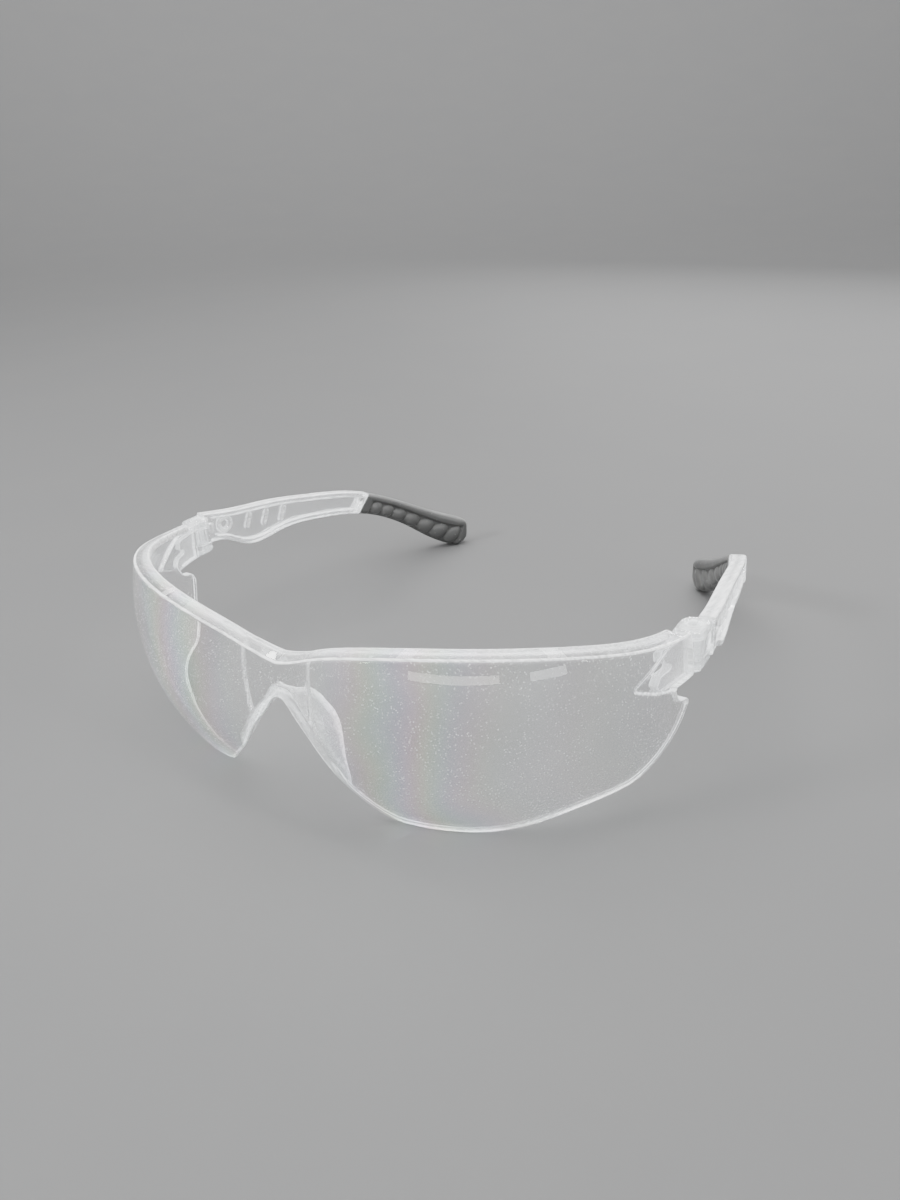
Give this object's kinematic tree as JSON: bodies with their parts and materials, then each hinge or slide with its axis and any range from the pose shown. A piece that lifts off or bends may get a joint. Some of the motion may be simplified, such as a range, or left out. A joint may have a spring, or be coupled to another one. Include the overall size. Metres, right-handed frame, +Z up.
{
  "type": "wrap-around safety glasses",
  "caption": "Clear one-piece wrap-around safety glasses with moulded brow ledge and nose flanges, pin-hinged folding temples and soft grey temple tips.",
  "frame": {"origin": "centre of the brow in plan (x = 0 is the plane of symmetry, y = 0 the foremost point of the lens), on the table the glasses rest on", "axes": "+X towards the wearer's left, the lens faces -Y and the temples run back along +Y, +Z up with the glasses standing on the lens's lower edges and the temple tips"},
  "size_m": [0.1482, 0.1462, 0.0439],
  "materials": {
    "lens_clear": "clear moulded polycarbonate with a hard coat",
    "bracket_clear": "clear moulded plastic",
    "pin_clear": "clear plastic pin",
    "temple_clear": "clear moulded plastic",
    "tip_grey": "soft dark grey thermoplastic rubber, satin"
  },
  "bodies": {
    "front": {"lens": "lens_clear", "hinge_bracket_left": "bracket_clear", "hinge_bracket_right": "bracket_clear", "hinge_pin_left": "pin_clear", "hinge_pin_right": "pin_clear"},
    "temple_left_body": {"temple_left": "temple_clear", "temple_tip_left": "tip_grey"},
    "temple_right_body": {"temple_right": "temple_clear", "temple_tip_right": "tip_grey"}
  },
  "joints": [
    {"name": "temple_left_fold", "type": "hinge", "parent": "front", "child": "temple_left_body", "pos_m": [0.0707, 0.0507, 0.0333], "axis": [0, 0, 1], "range_deg": [-2, 90]},
    {"name": "temple_right_fold", "type": "hinge", "parent": "front", "child": "temple_right_body", "pos_m": [-0.0707, 0.0507, 0.0333], "axis": [0, 0, -1], "range_deg": [-2, 79]}
  ]
}
